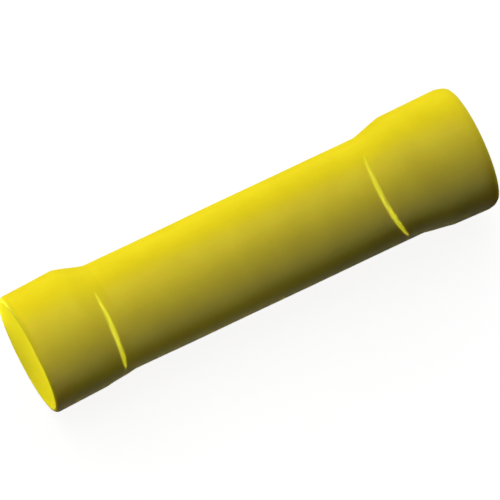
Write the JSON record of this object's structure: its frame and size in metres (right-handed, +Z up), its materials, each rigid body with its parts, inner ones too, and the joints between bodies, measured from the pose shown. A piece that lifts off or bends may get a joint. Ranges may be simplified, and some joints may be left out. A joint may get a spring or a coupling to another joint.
{
  "type": "insulated butt splice connector",
  "caption": "Insulated butt splice: a metal crimp barrel with a centre wire stop inside a yellow sleeve with belled, metal-lined ends. It joins two wires end to end.",
  "frame": {"origin": "centre of the connector: the middle of the barrel's wire stop, on the long axis", "axes": "+X along the connector from the left mouth to the right mouth, +Z up; the connector lies on its bells, on the flats that face -Z"},
  "size_m": [0.0284, 0.0074, 0.0074],
  "materials": {
    "insulation_sleeve": "satin",
    "wire_barrel": "satin",
    "support_sleeve_left": "satin",
    "support_sleeve_right": "satin"
  },
  "bodies": {
    "root": {"insulation_sleeve": "insulation_sleeve", "wire_barrel": "wire_barrel", "support_sleeve_left": "support_sleeve_left", "support_sleeve_right": "support_sleeve_right"}
  },
  "joints": []
}
